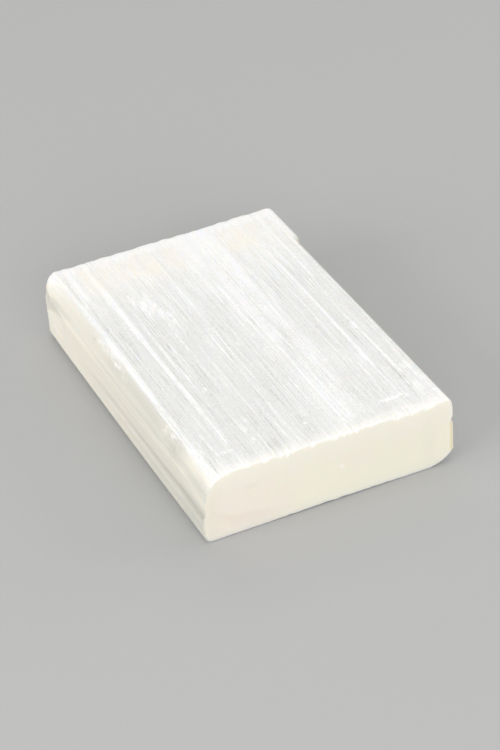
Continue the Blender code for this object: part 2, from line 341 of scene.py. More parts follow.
def chips(x):
    """How far the chips reach at a place along the front edge of the top."""
    broad = noise.noise((x / CHIP_STRETCH, 1.5, 6.0))
    narrow = noise.noise((x / CHIP_WIDTH, 7.5, 2.0))
    reach = CHIP_DEPTH * max(CHIP_NARROW * narrow + CHIP_BROAD * broad, 0.0)
    return reach * ramp(*CHIP_END_X, abs(x))


def end_wear(point, facing):
    """How far the worn edge of the nearer sawn end draws the surface in at a point."""
    x, y, z = point
    up, down = max(facing.z, 0.0), max(-facing.z, 0.0)
    left, right = max(-facing.x, 0.0), max(facing.x, 0.0)
    fray = 1.0 + FRAY_SHARE * noise.noise((x / FRAY_WIDTH, y, z / FRAY_WIDTH))
    if y < 0.0:
        wear = blend(SIDE_WEAR, FRONT_TOP_WEAR, up) * fray
        wear = blend(wear, FRONT_RIGHT_WEAR, right)
        corner = ramp(*FRONT_LEFT_CORNER_Z, z) * ramp(*FRONT_LEFT_CORNER_TURN, left)
        wear = blend(wear, FRONT_LEFT_WEAR * fray, corner)
        wear = blend(wear, FRONT_BASE_WEAR, down) + chips(x) * ramp(*CHIP_TURN, up)
    else:
        wear = blend(BACK_SIDE_WEAR, BACK_TOP_WEAR, up) * fray
        wear = blend(wear, BACK_RIGHT_WEAR, right)
        corner = ramp(*BACK_LEFT_CORNER_Z, z)
        wear = blend(wear, blend(BACK_LEFT_WEAR, BACK_LEFT_CORNER_WEAR, corner), left)
    short = min(max(wear - end_distance(y), 0.0), wear)
    return wear - sqrt(wear**2 - short**2)


def stretch(y, front, back, fade):
    """1 along the block from front to back, fading out over a short run inside both."""
    return ramp(front, front + fade, y) * ramp(-back, fade - back, -y)


def ridge_rise(point):
    """How far the highest ridge at this place on the top stands above the ground surface."""
    x, y, _ = point
    rise = 0.0
    for crest, left_width, right_width, height, front, back in RIDGES:
        across = line_dip(x - crest, left_width if x < crest else right_width)
        rise = max(rise, height * across * stretch(y, front, back, RIDGE_FADE))
    return rise


def seam_growth(y):
    """How far the open seam has grown, from 0 at its back end to 1 at the front of the block."""
    return 1.0 - ramp(-LENGTH / 2, SEAM_BACK_Y, y)


def side_depth(point, facing):
    """The ledge and seam on the left side and the fissure on the right, as a depth."""
    _, y, z = point
    if facing.x > 0.5:
        grown = 1.0 - ramp(*FISSURE_FADE_Y, y)
        return FISSURE_DEPTH * grown * line_dip(z - FISSURE_HEIGHT, FISSURE_HALF_WIDTH)
    grown = seam_growth(y)
    open_share = sqrt(grown) * ramp(0.0, SEAM_FRONT_FADE, end_distance(y))
    seam = SEAM_DEPTH * open_share * line_dip(z - SEAM_HEIGHT, SEAM_HALF_WIDTH)
    ledge = LEDGE_DEPTH * grown * ramp(SEAM_HEIGHT, LEDGE_TOP, z)
    undercut = UNDERCUT_DEPTH * (1.0 - grown) * (1.0 - ramp(0.0, UNDERCUT_HEIGHT, z))
    bow = LEFT_BOW * ((y - LEFT_BOW_MIDDLE_Y) / (LENGTH / 2)) ** 2
    return seam + ledge + undercut + bow


def base_grooves(point):
    """The grooves between bundles on the resting face, as a depth that fades at both ends."""
    x, y, _ = point
    fade = ramp(0.0, BASE_GROOVE_FADE, end_distance(y))
    return BASE_GROOVE_DEPTH * fade * max(line_dip(x - at, half) for at, half in BASE_GROOVES)


def worked_point(point, fibre, facing):
    """A point of the plain section, moved in by everything that shapes the surface."""
    flank = ramp(*FLANK_TURN, abs(facing.x))
    depth = flake_depth(point, -facing) + side_depth(point, facing) * flank
    fine = FIBRE_RELIEF * (1.0 + grain(fibre, FIBRE_WIDTH, FIBRE_RUN))
    fine += SPLINTER_RELIEF * splinters(fibre)
    if facing.z < BASE_TURN:
        depth += base_grooves(point) + fine
    else:
        rise = ridge_rise(fibre)
        below_crest = 1.0 - max(facing.z, 0.0) * rise / FIELD_DROP
        bundles = BUNDLE_RELIEF * (0.5 + 0.5 * grain(fibre, BUNDLE_WIDTH, BUNDLE_RUN))
        depth += bundles * below_crest * min(1.0, 1.0 + facing.z)
        depth += (FIELD_DROP - rise) * max(facing.z, 0.0) + fine
    return drawn_in(point - facing * depth, end_wear(point, facing), *CORE_Z)


def skewed(point):
    """The back end, and less and less of the block in front of it, turned out of square."""
    share = (point.y + LENGTH / 2) / LENGTH
    point.y += BACK_SKEW * share * (point.x / WIDTH - 0.5)
    return point


# ---- The slab: its markings
# Where fibres are bruised or have split apart they turn white, near the back the stone has a
# peach tint, and the top is painted whiter there as a sheen. The sides are cream, greyer towards
# the front, with brown painted shade in the open seam and painted shade on a facet at the back
# of the left side.

# Bruised fibres on the top: place across the slab, half width, how white, and front and back
# end. Below 0 is a dark gap.
STREAKS = (
    # The crest beside the left edge
    (-0.0288, 0.00065, 0.95, -0.04, -0.013),
    (-0.0291, 0.0011, 0.8, -0.02, 0.014),
    (-0.0287, 0.00075, 1.1, -0.016, 0.032),
    (-0.0299, 0.00035, 0.75, -0.04, -0.017),
    (-0.0294, 0.0018, 0.28, -0.05, -0.035),
    (-0.0287, 0.0005, 0.35, -0.048, -0.038),
    (-0.0294, 0.00014, -0.5, -0.04, -0.017),
    (-0.0278, 0.00035, 0.6, 0.027, 0.042),
    (-0.0268, 0.0007, 0.85, 0.031, 0.049),
    (-0.0262, 0.0015, 0.3, 0.036, 0.049),
    # From there to the second ridge
    (-0.0256, 0.00022, 0.45, -0.018, 0.012),
    (-0.0255, 0.0003, 0.8, -0.042, -0.032),
    (-0.026, 0.0004, 0.45, -0.05, -0.041),
    (-0.0236, 0.0002, 0.4, -0.004, 0.019),
    (-0.0235, 0.00022, 0.5, -0.019, -0.011),
    (-0.0234, 0.00012, -0.35, 0.006, 0.013),
    (-0.0239, 0.00022, 0.35, 0.031, 0.045),
    (-0.0232, 0.0003, 0.35, -0.048, -0.044),
    # The second ridge
    (-0.0216, 0.0011, 0.95, 0.006, 0.04),
    (-0.0217, 0.001, 0.8, 0.036, 0.049),
    (-0.0216, 0.0007, 1.1, -0.013, 0.009),
    (-0.0215, 0.00095, 1.1, -0.028, -0.011),
    (-0.0215, 0.0005, 1.0, -0.042, -0.026),
    (-0.0211, 0.00016, -0.8, -0.0425, -0.038),
    (-0.0207, 0.00025, 0.55, -0.043, -0.029),
    (-0.0213, 0.0005, 0.15, -0.049, -0.042),
    (-0.02, 0.0009, 0.28, -0.019, -0.002),
    (-0.0202, 0.00025, 0.35, -0.034, -0.023),
    # Thin lines between the second ridge and the middle
    (-0.0192, 0.00024, 0.8, -0.008, 0.016),
    (-0.0191, 0.00024, 0.75, -0.049, -0.033),
    (-0.0195, 0.00026, 0.6, 0.037, 0.048),
    (-0.0179, 0.00016, 0.7, -0.001, 0.006),
    (-0.0173, 0.00018, -1.1, -0.0015, 0.006),
    (-0.0168, 0.00022, 0.8, -0.003, 0.004),
    (-0.0165, 0.00022, 0.35, -0.01, 0.01),
    (-0.0153, 0.00035, 0.7, 0.033, 0.038),
    (-0.0171, 0.0003, 0.7, 0.0235, 0.0285),
    (-0.0149, 0.00038, 0.6, -0.048, -0.041),
    (-0.0136, 0.0003, 0.9, -0.003, 0.013),
    (-0.0133, 0.00028, 0.6, 0.008, 0.028),
    (-0.0133, 0.00022, 0.3, -0.016, -0.001),
    (-0.0137, 0.0003, 0.85, -0.049, -0.0385),
    (-0.0117, 0.0003, 0.6, 0.03, 0.041),
    (-0.0109, 0.00026, 0.7, 0.029, 0.041),
    (-0.0111, 0.00022, 0.4, 0.006, 0.016),
    (-0.0108, 0.00022, 0.6, -0.028, 0.002),
    (-0.0108, 0.00022, 0.4, -0.034, -0.024),
    (-0.0085, 0.00022, 0.55, 0.02, 0.039),
    (-0.0084, 0.00022, 0.4, -0.021, 0.008),
    (-0.0085, 0.00032, 0.45, -0.047, -0.025),
    (-0.0066, 0.00025, 0.4, 0.029, 0.036),
    (-0.0065, 0.00035, 0.5, -0.013, 0.004),
    (-0.0063, 0.0003, 0.45, -0.022, -0.011),
    (-0.0065, 0.0006, 0.65, -0.049, -0.028),
    (-0.0055, 0.00016, -0.25, -0.042, -0.0385),
    (-0.0048, 0.00024, 0.6, -0.023, 0.044),
    (-0.0049, 0.0002, 0.6, -0.029, -0.021),
    (-0.005, 0.00032, 0.6, -0.049, -0.039),
    (-0.0051, 0.00028, 0.6, -0.0385, -0.0345),
    (-0.0033, 0.00022, 0.55, 0.032, 0.043),
    (-0.003, 0.0002, 0.4, -0.021, 0.003),
    (-0.0029, 0.0003, 0.35, 0.022, 0.028),
    (-0.0008, 0.00055, 0.38, -0.042, 0.003),
    (-0.0004, 0.0004, 0.3, 0.011, 0.017),
    # The broad pale bundle right of the middle
    (0.0075, 0.009, 0.31, -0.051, 0.05),
    (0.0066, 0.0024, 0.32, -0.01, 0.05),
    (0.0072, 0.0026, 0.36, -0.048, -0.016),
    (0.012, 0.0026, 0.3, -0.006, 0.05),
    (0.0112, 0.0024, 0.22, -0.046, -0.008),
    (0.023, 0.014, 0.08, -0.051, 0.05),
    (0.025, 0.009, 0.12, -0.051, -0.018),
    (0.0024, 0.00045, 0.42, -0.006, 0.03),
    (0.0024, 0.00038, 0.4, -0.04, -0.022),
    (0.0026, 0.0007, 0.28, 0.028, 0.049),
    (0.0042, 0.0004, 0.55, 0.006, 0.023),
    (0.0042, 0.00026, 0.6, -0.013, 0.008),
    (0.0057, 0.00045, 0.9, 0.027, 0.049),
    (0.0078, 0.0015, 0.5, 0.034, 0.05),
    (0.0072, 0.0017, 0.55, 0.004, 0.029),
    (0.0065, 0.0017, 0.4, -0.01, 0.006),
    (0.0086, 0.00026, 0.85, 0.013, 0.031),
    (0.0051, 0.00014, -0.5, -0.002, 0.006),
    (0.0073, 0.00014, -0.45, -0.009, 0.003),
    (0.0084, 0.00026, 0.5, -0.013, 0.001),
    (0.0057, 0.00048, 1.0, -0.048, -0.009),
    (0.0061, 0.00013, -0.8, -0.034, -0.027),
    (0.007, 0.00024, 0.7, -0.046, -0.032),
    (0.0074, 0.00013, -0.6, -0.045, -0.032),
    (0.0079, 0.0004, 0.5, -0.046, -0.024),
    (0.0095, 0.001, -0.22, 0.024, 0.037),
    (0.01, 0.0012, 0.3, 0.034, 0.049),
    (0.0104, 0.00026, 0.6, -0.001, 0.009),
    (0.01, 0.0005, 0.4, -0.022, -0.015),
    (0.0108, 0.00032, 0.7, -0.04, -0.016),
    (0.0119, 0.0004, 0.8, 0.0, 0.009),
    (0.0121, 0.00055, 0.7, 0.006, 0.03),
    (0.0124, 0.00095, 1.0, 0.026, 0.046),
    (0.0131, 0.00024, 0.7, 0.003, 0.008),
    (0.0117, 0.00014, 0.5, -0.02, -0.001),
    (0.0125, 0.00014, 0.5, -0.019, -0.002),
    (0.0123, 0.00014, -0.5, -0.039, -0.026),
    (0.0133, 0.00024, 0.75, -0.023, 0.006),
    # Thin lines from there to the right edge
    (0.0148, 0.00022, 0.35, -0.006, 0.006),
    (0.0159, 0.00022, 0.35, -0.01, 0.005),
    (0.0156, 0.0004, 0.35, -0.038, -0.029),
    (0.017, 0.00022, 0.55, -0.034, 0.012),
    (0.0171, 0.00022, 0.35, 0.01, 0.039),
    (0.017, 0.00018, 0.5, -0.021, -0.009),
    (0.0174, 0.00013, -0.6, -0.02, -0.009),
    (0.0181, 0.00022, 0.5, -0.031, -0.013),
    (0.0182, 0.00028, 0.6, -0.027, -0.021),
    (0.0186, 0.00013, -0.6, -0.022, -0.014),
    (0.0192, 0.00024, 0.75, -0.032, 0.039),
    (0.0194, 0.00026, 0.8, -0.036, -0.029),
    (0.019, 0.00014, -0.5, -0.036, -0.031),
    (0.022, 0.00034, 1.1, -0.031, 0.031),
    (0.0218, 0.0005, 0.6, -0.019, -0.005),
    (0.0217, 0.001, 0.4, 0.026, 0.04),
    (0.0218, 0.0003, 0.6, -0.043, -0.03),
    (0.0213, 0.0003, 0.45, -0.027, -0.022),
    (0.0266, 0.00045, 0.6, 0.012, 0.048),
    (0.0262, 0.0003, 0.45, 0.002, 0.015),
    (0.0259, 0.00022, 0.5, -0.004, 0.008),
    (0.026, 0.00035, 0.7, -0.036, -0.014),
    (0.0252, 0.00013, -0.35, -0.0385, -0.033),
    (0.0264, 0.00014, -0.35, -0.039, -0.036),
    (0.0294, 0.0003, 0.45, -0.048, -0.029),
    (0.0289, 0.0002, 0.35, 0.029, 0.046),
    (0.0299, 0.0002, 0.35, 0.028, 0.045),
)
STREAK_FADE = 0.0032
STREAK_CORE = 0.3  # this share of a streak's half width is as white as its middle
STREAK_MEAN = 0.82
STREAK_CHANGE = (0.45, 1 / 900, 0.005)  # how much the white changes, across and along

# Bruised patches on the top: place across and along, half width, half length, and how white.
PATCHES = (
    (-0.012, 0.038, 0.0008, 0.003, 0.5),
    (-0.0096, 0.0345, 0.0011, 0.0036, 0.7),
    (-0.0172, 0.0265, 0.0006, 0.0024, 0.7),
    (-0.0146, 0.022, 0.0018, 0.0032, 0.9),
    (-0.013, 0.0185, 0.0012, 0.0026, 0.7),
    (-0.0116, 0.0145, 0.0009, 0.0032, 0.7),
    (-0.016, 0.018, 0.0007, 0.0024, 0.5),
    (-0.0135, 0.026, 0.0008, 0.002, 0.6),
    (-0.0183, -0.0105, 0.0007, 0.0012, 0.7),
    (-0.0022, -0.0045, 0.0005, 0.0008, 0.7),
    (-0.0141, -0.0335, 0.0008, 0.001, 0.6),
    (-0.0158, -0.036, 0.0008, 0.0022, 0.5),
    (0.0256, -0.0112, 0.0005, 0.0014, 0.9),
    (0.0216, -0.0248, 0.0007, 0.0016, 0.5),
    (0.0283, -0.0325, 0.0012, 0.0012, 0.8),
    (0.029, -0.0385, 0.0011, 0.0022, 0.5),
    (0.0266, -0.0412, 0.001, 0.0018, 0.7),
    (0.0252, -0.0385, 0.0005, 0.0014, 0.7),
    (0.028, -0.045, 0.0022, 0.004, 0.3),
)
PATCH_FADE = (0.3, 2.2)  # a patch fades out between these squares of its own radius
PATCH_MEAN = 0.6
PATCH_CHANGE = 1.2
PATCH_WIDTH = 0.00045
PATCH_RUN = 0.0019

# Bruises on the left edge: place along the block, height, half length, half height, and how
# white. Below 0 is a dark spot.
EDGE_BRUISES = (
    (0.009, 0.0172, 0.008, 0.0007, 0.55),
    (0.001, 0.0166, 0.005, 0.0007, 0.25),
    (0.0178, 0.0164, 0.0012, 0.0006, -0.6),
    (-0.0275, 0.0168, 0.004, 0.001, 0.45),
    (-0.037, 0.0172, 0.008, 0.0008, 0.25),
    (-0.046, 0.0155, 0.006, 0.002, 0.15),
)
EDGE_BRUISE_RUN = 0.0018

# The left edge turns white just behind the front end, and greyer again on the arris itself.
EDGE_FRONT_WHITE = 0.12
EDGE_FRONT_Y = (-0.0484, -0.0497)
ARRIS_Y = (-0.0493, -0.0498)
ARRIS_LOSS = 0.5

# The front end of the top is frayed white: how white, where that starts, how this varies, how
# much further back it starts at the right, and what it loses at the left.
FROST_WHITE = 0.45
FROST_START_Y = -0.0458
FROST_FULL_Y = -0.0496
FROST_SHORTEST = 0.0006
FROST_SPREAD = 0.0022
FROST_WIDTHS = ((0.0034, 5.0), (0.0007, 9.0))  # each with its own seed
FROST_RIGHT_RUN = 0.003
FROST_RIGHT_X = (0.025, 0.031)
FROST_LEFT_LOSS = 0.5
FROST_LEFT_X = (-0.0262, -0.0284)

# The top grows whiter towards the back, a painted sheen: how much, and between which places
# along the block.
BACK_SHEEN_WHITES = ((0.42, 0.004, 0.047), (0.4, 0.044, 0.0475))

# Peach stone shows near the back, in stretches across the slab, and on the shoulder. Each slow
# change over it has a size, a width across the fibres and a run along them.
PEACH_STRETCHES = ((-0.025, -0.013), (-0.0122, -0.0045), (-0.0022, 0.002), (0.0138, 0.025))
PEACH_BLUR = 0.0009
PEACH_FRONT_Y = (0.0305, 0.037)
PEACH_BACK_Y = (0.0445, 0.0465)
PEACH_WANDER_X = (0.0008, 0.003, 0.004)
PEACH_WANDER_Y = (0.004, 0.0016, 0.02)
PEACH_MEAN = 0.75
PEACH_CHANGE = (0.6, 0.0025, 0.006)
SHOULDER_PEACH = 0.8
SHOULDER_PEACH_X = (0.0285, 0.033, 0.0012)  # from, to, and the blur of both ends
SHOULDER_PEACH_Y = (0.028, 0.036, 0.002)
BACK_PEACH = 0.42
BACK_PEACH_Y = (0.018, 0.04)
FROST_PEACH = 0.62

# How grey the cream is at the back, and how much more at the front: on the right side, on the
# left ground edge, and on the flat of the left side, which is paler up high and at the foot.
GREY_START_Y = 0.045
GREY_RUN = 0.095
RIGHT_GREY = (0.25, 0.15)
EDGE_GREY = (0.31, 0.5)
FLANK_GREY = (-0.17, 1.3)
FLANK_GREY_MOST = 0.8
FLANK_FRONT_GREY = 0.17
FLANK_FRONT_Y = (-0.033, -0.041)
UPPER_GREY = 0.66
UPPER_GREY_MOST = 0.4
UPPER_FLANK_Z = (0.0065, 0.0112)
FOOT_PALENESS = 0.25
FOOT_Z = (0.003, 0.0052)
FLANK_FACING = (0.88, 0.99)

# Bands on the left side: how much greyer at the back, and how much more at the front, with the
# rise and the fall along the block, and then up the side. None is open.
GREY_BANDS = (
    (0.06, 0.28, (-0.04, -0.03), None, (0.0125, 0.0137), (0.0151, 0.0139)),
    (0.12, 0.0, (-0.031, -0.019), (0.016, 0.004), (0.0145, 0.016), None),
    (0.24, 0.0, None, (-0.037, -0.044), (0.01, 0.0124), (0.0148, 0.0124)),
    (-0.08, 0.0, None, (-0.032, -0.043), (0.0095, 0.012), None),
    (-0.4, 0.0, None, (-0.032, -0.043), (0.0145, 0.0162), None),
    (0.12, 0.0, (-0.005, 0.003), (0.019, 0.011), (0.006, 0.0076), (0.0096, 0.008)),
    (0.4, 0.0, None, ARRIS_Y, None, None),
    (-0.15, 0.0, None, (-0.029, -0.036), (0.005, 0.0066), (0.0083, 0.0067)),
)

# A facet at the back of the left side, painted grey as the shade under the chamfer's edge: its
# ends, its foot, which falls towards the back, its top, and how strong the painted shade is in
# front and behind.
FACET_Y = (0.031, 0.049, 0.001)
FACET_FOOT = 0.0145
FACET_SLOPE = 0.33
FACET_TOP = 0.0149
FACET_BLUR = 0.0004
FACET_SHADE = (0.16, 0.45)
FACET_SHADE_Y = (0.037, 0.043)

# The brown painted shade in the seam: half width at the back and front, how far it climbs
# towards the front, and how far and over which run it wanders.
SEAM_SHADE_HALF_WIDTHS = (0.0009, 0.0023)
SEAM_SHADE_CLIMB = 0.0005
SEAM_SHADE_WANDER = 0.0005
SEAM_SHADE_WANDER_RUN = 0.006


def within(value, low, high, blur):
    """1 between low and high, and 0 outside them, with a blurred change at both."""
    rise = ramp(low - blur, low + blur, value)
    return rise * ramp(-high - blur, -high + blur, -value)


def change(x, y, size, width, run, seed):
    """A slow change over the stone of up to size either way."""
    return size * noise.noise((x / width, y / run, seed))


def streak_white(x, y):
    """How white the fibres near x are at y, from the marks that pass near x."""
    white = 0.0
    for at, half_width, strength, front, back in STREAKS:
        if abs(x - at) < half_width:
            patchy = STREAK_MEAN + change(at, y, *STREAK_CHANGE, 2.0)
            soft = 1.0 - ramp(STREAK_CORE * half_width, half_width, abs(x - at))
            white += strength * stretch(y, front, back, STREAK_FADE) * patchy * soft
    return white


def patch_white(place, length, patches, run=PATCH_RUN):
    """How white the patches make a spot, from its place and its distance along the block."""
    white = 0.0
    for at, at_length, half_width, half_length, strength in patches:
        away = ((place - at) / half_width) ** 2 + ((length - at_length) / half_length) ** 2
        if away < PATCH_FADE[1]:
            ragged = PATCH_MEAN + change(place, length, PATCH_CHANGE, PATCH_WIDTH, run, 8.0)
            white += strength * max(ragged, 0.0) * (1.0 - ramp(*PATCH_FADE, away))
    return white


def edge_white(y, z):
    """How bruised the left edge is at a height above the table."""
    turned = [(z_at, y_at, tall, long, white) for y_at, z_at, long, tall, white in EDGE_BRUISES]
    bruised = patch_white(z, y, turned, EDGE_BRUISE_RUN)
    return bruised + EDGE_FRONT_WHITE * ramp(*EDGE_FRONT_Y, y)


def frost(x, y):
    """How white the frayed front end of the top is."""
    start = FROST_START_Y + FROST_RIGHT_RUN * ramp(*FROST_RIGHT_X, x)
    for width, seed in FROST_WIDTHS:
        start += FROST_SPREAD * noise.noise((x / width, 0.0, seed))
    frayed = 1.0 - ramp(FROST_FULL_Y, max(start, FROST_FULL_Y + FROST_SHORTEST), y)
    return frayed * (1.0 - FROST_LEFT_LOSS * ramp(*FROST_LEFT_X, x))


def top_white(x, y):
    """How white the top is, from 0 for clear satin fibres to 1 for white ones: its bruised fibres,
    and a painted sheen towards the back.
    """
    white = streak_white(x, y) + patch_white(x, y, PATCHES) + FROST_WHITE * frost(x, y)
    # The last term is a painted sheen towards the back.
    return white + sum(share * ramp(start, full, y) for share, start, full in BACK_SHEEN_WHITES)


def peach(x, y):
    """The peach tint near the back of the top, in patches with ragged borders."""
    ragged_x = x + change(x, y, *PEACH_WANDER_X, 1.0)
    ragged_y = y + change(x, y, *PEACH_WANDER_Y, 3.0)
    across = max(within(ragged_x, *place, PEACH_BLUR) for place in PEACH_STRETCHES)
    along = ramp(*PEACH_FRONT_Y, ragged_y) * (1.0 - ramp(*PEACH_BACK_Y, ragged_y))
    patchy = PEACH_MEAN + change(x, y, *PEACH_CHANGE, 12.0)
    everywhere = BACK_PEACH * ramp(*BACK_PEACH_Y, y) + FROST_PEACH * frost(x, y)
    shoulder = within(x, *SHOULDER_PEACH_X) * within(ragged_y, *SHOULDER_PEACH_Y)
    return max(across * along * patchy + everywhere, SHOULDER_PEACH * shoulder)


def flank_grey(forward, y, z):
    """How grey the flat of the left side is, before its bands."""
    at_back, more = FLANK_GREY
    grey = min(max(at_back + more * forward, 0.0), FLANK_GREY_MOST)
    grey += FLANK_FRONT_GREY * ramp(*FLANK_FRONT_Y, y)
    grey = blend(grey, min(UPPER_GREY * forward, UPPER_GREY_MOST), ramp(*UPPER_FLANK_Z, z))
    return grey - FOOT_PALENESS * forward * (1.0 - ramp(*FOOT_Z, z))


def greyness(y, z, facing):
    """How grey the cream of a side has become: more towards the front, in bands, and with painted
    shade on a facet at the back of the left side.
    """
    forward = min(max((GREY_START_Y - y) / GREY_RUN, 0.0), 1.0)
    if facing.x > 0.0:
        return RIGHT_GREY[0] + RIGHT_GREY[1] * forward
    flank = ramp(*FLANK_FACING, abs(facing.x))
    grey = blend(EDGE_GREY[0] + EDGE_GREY[1] * forward, flank_grey(forward, y, z), flank)
    for at_back, more, *ramps in GREY_BANDS:
        share = at_back + more * forward
        for place, limits in zip((y, y, z, z), ramps):
            if limits:
                share *= ramp(*limits, place)
        grey += share
    # Painted shade on the facet under the chamfer's edge, at the back of the left side.
    facet_foot = FACET_FOOT - FACET_SLOPE * (y - FACET_Y[0])
    facet_shade = within(y, *FACET_Y) * within(z, facet_foot, FACET_TOP, FACET_BLUR)
    return grey + facet_shade * blend(*FACET_SHADE, ramp(*FACET_SHADE_Y, y))


def seam_dirt(y, z):
    """The brown painted shade in the seam on the left side, which widens towards the front."""
    grown = seam_growth(y)
    wander = change(y, 0.0, SEAM_SHADE_WANDER, SEAM_SHADE_WANDER_RUN, 1.0, 4.0)
    middle = SEAM_HEIGHT + SEAM_SHADE_CLIMB * grown - wander
    return grown * line_dip(z - middle, blend(*SEAM_SHADE_HALF_WIDTHS, grown))


# ---- The slab: its skin
# The sections are joined into one closed skin. The two sawn ends are flat, with a narrow
# border of rings inside the worn edge.

LONG_STEP = 0.00072
END_STEP = 0.00006
END_STEP_GROWTH = 1.35
CAP_INSETS = (0.00025, 0.0007, 0.0016, 0.0034, 0.006)


def stations():
    """Places of the sections along Y: close together at the ends, and even between."""
    near, step = [0.0], END_STEP
    while step < LONG_STEP:
        near.append(near[-1] + step)
        step *= END_STEP_GROWTH
    middle = LENGTH / 2 - near[-1]
    front = [-LENGTH / 2 + distance for distance in near]
    back = [LENGTH / 2 - distance for distance in reversed(near)]
    return front + evenly(-middle, middle, round(2 * middle / LONG_STEP)) + back


# How far a surface has turned, up or to a side, where the finish of each face comes in. The
# cream of the sawn end reaches a little way over the arris, to this share.
TOP_TURN = (0.3, 0.9)
RIGHT_TURN = (0.75, 0.98)
LEFT_TURN = (0.45, 0.8)
EDGE_TURN = 0.1
SEAM_TURN = 0.5
END_ROLL = 0.5
END_ROLL_Y = (-0.0497, -0.05)

points, faces = [], []
marks = {name: [] for name in ("white", "peach", "side", "grey", "dirt", "end")}


def add_point(point, **values):
    points.append(point)
    for name, held in marks.items():
        held.append(values.get(name, 0.0))


def add_object(name, data):
    """A new object in the scene."""
    made = bpy.data.objects.new(name, data)
    bpy.context.scene.collection.objects.link(made)
    return made


fibre_places = [x for x, z in outline(0.0)]
for y in stations():
    plain = outline(y)
    for i, (x, z) in enumerate(plain):
        facing = outward(plain, i)
        fibre_x = fibre_places[i]
        up = ramp(*TOP_TURN, facing.z)
        side = ramp(*(RIGHT_TURN if facing.x > 0.0 else LEFT_TURN), abs(facing.x))
        white = top_white(fibre_x, y) * up if up > 0.0 else 0.0
        if facing.x < -EDGE_TURN and facing.z > EDGE_TURN:
            white += edge_white(y, z)
            white *= 1.0 - ARRIS_LOSS * ramp(*ARRIS_Y, y)
        # Brown painted shade in the open seam on the left side.
        dirt = seam_dirt(y, z) if facing.x < -SEAM_TURN else 0.0
        add_point(
            skewed(worked_point(Vector((x, y, z)), Vector((fibre_x, y, z)), facing)),
            white=white,
            peach=peach(fibre_x, y) * up,
            side=side,
            grey=greyness(y, z, facing),
            dirt=dirt,
            end=END_ROLL * ramp(*END_ROLL_Y, y) * up,
        )
ring_size = len(plain)
last_ring = len(points) - ring_size
for start in range(0, last_ring, ring_size):
    for i in range(ring_size):
        before = (i - 1) % ring_size
        faces.append((start + i, start + before, start + ring_size + before, start + ring_size + i))

for edge_start, turned in ((0, False), (last_ring, True)):
    ring = list(range(edge_start, edge_start + ring_size))
    edge = [points[i] for i in ring]
    for inset in (0.0, *CAP_INSETS):
        inner = list(range(len(points), len(points) + ring_size))
        for point in edge:
            add_point(drawn_in(point, inset, THICKNESS / 2, THICKNESS / 2), end=1.0)
        if inset > 0.0:
            for i in range(ring_size):
                quad = (ring[i - 1], ring[i], inner[i], inner[i - 1])
                faces.append(quad[::-1] if turned else quad)
        ring = inner
    faces.append(ring[::-1] if turned else ring)

mesh = bpy.data.meshes.new("selenite_slab_skin")
mesh.from_pydata(points, [], faces)
for name, values in marks.items():
    mesh.attributes.new(name, "FLOAT", "POINT").data.foreach_set("value", values)
mesh.update()
mesh.validate()
mesh.shade_smooth()
slab = add_object("selenite_slab_stone", mesh)


# ---- The slab: its stone
# Satin spar is milky and lets light in a little way, with a silky sheen along the fibres.
# The ground top is greyish white, the sides are cream, and the sawn ends are smooth and tan.

CLEAR_FIBRES = (0.76, 0.76, 0.738)
WHITE_FIBRES = (0.97, 0.97, 0.962)
DARK_GAP = (0.48, 0.47, 0.43)
PEACH_TINT = (0.93, 0.875, 0.775)
SIDE_CREAM = (0.915, 0.868, 0.757)
SIDE_GREY = (0.583, 0.578, 0.52)
# The brown of the painted shade in the open seam.
SEAM_SHADE_BROWN = (0.455, 0.405, 0.325)
END_CREAM = (0.848, 0.82, 0.73)
END_PINK = (0.862, 0.8, 0.712)
END_GREEN = (0.852, 0.822, 0.702)
END_STAIN = (0.8, 0.718, 0.632)
END_SHADE = (0.745, 0.725, 0.63)
END_RIM = (0.74, 0.65, 0.44)

# How rough the fibres and the sawn ends are, how deep the bump of the single threads is, with
# the strands' share in it, and how milky the stone is.
CLEAR_ROUGHNESS = 0.36
WHITE_ROUGHNESS = 0.55
END_SMOOTHNESS = 0.04
THREAD_BUMP = 0.00006
STRAND_BUMP = 0.9
BUMP_STRENGTH = 0.8
GYPSUM_IOR = 1.52
MILKINESS = 0.6
LIGHT_REACH = 0.003  # how far light spreads inside the stone
LIGHT_SPREAD = (1.0, 0.85, 0.65)  # red light goes furthest

# What each grain of the stone does: the range of it that counts, and the value at both ends.
# These whiten clear fibres, and the grain of bruises and scratches follows.
WHITE_THREADS = (0.55, 0.67, 0.0, 0.3)
DARK_THREADS = (0.45, 0.3, 0.0, -0.24)
HAIRLINES = (0.3, 0.7, -0.35, 0.35)
WHITE_STRANDS = (0.53, 0.68, 0.0, 0.12)
DARK_STRANDS = (0.46, 0.32, 0.0, -0.07)
CALM_BUNDLES = (0.36, 0.6, 0.45, 1.35)
LOOSE_GRIT = (0.25, 0.75, -0.32, 0.32)
LOOSE_SILK = (0.35, 0.65, -0.03, 0.05)
FRONT_CALM_Y = (-0.0498, -0.045, 0.55, 1.0)
SCRATCH_GRIT = (0.35, 0.55, 0.35, 1.25)
BRUISED_THREADS = (0.32, 0.68, 0.64, 1.36)
BRUISED_GRIT = (0.32, 0.62, 0.76, 1.2)

# Where a dark gap shows, how strong the peach is, and how the cream and the painted shade in
# the seam vary.
GAP_RANGE = (-0.1, -0.9)
PEACH_SHARE = 0.48
SIDE_STRANDS = (0.3, 0.7, -0.08, 0.08)
SIDE_BRUISES = (0.1, 1.0, 0.0, 0.9)
SIDE_HOLLOWS = (-0.1, -1.0)
SEAM_SHADE_STRANDS = (0.3, 0.7, 0.16, 0.4)

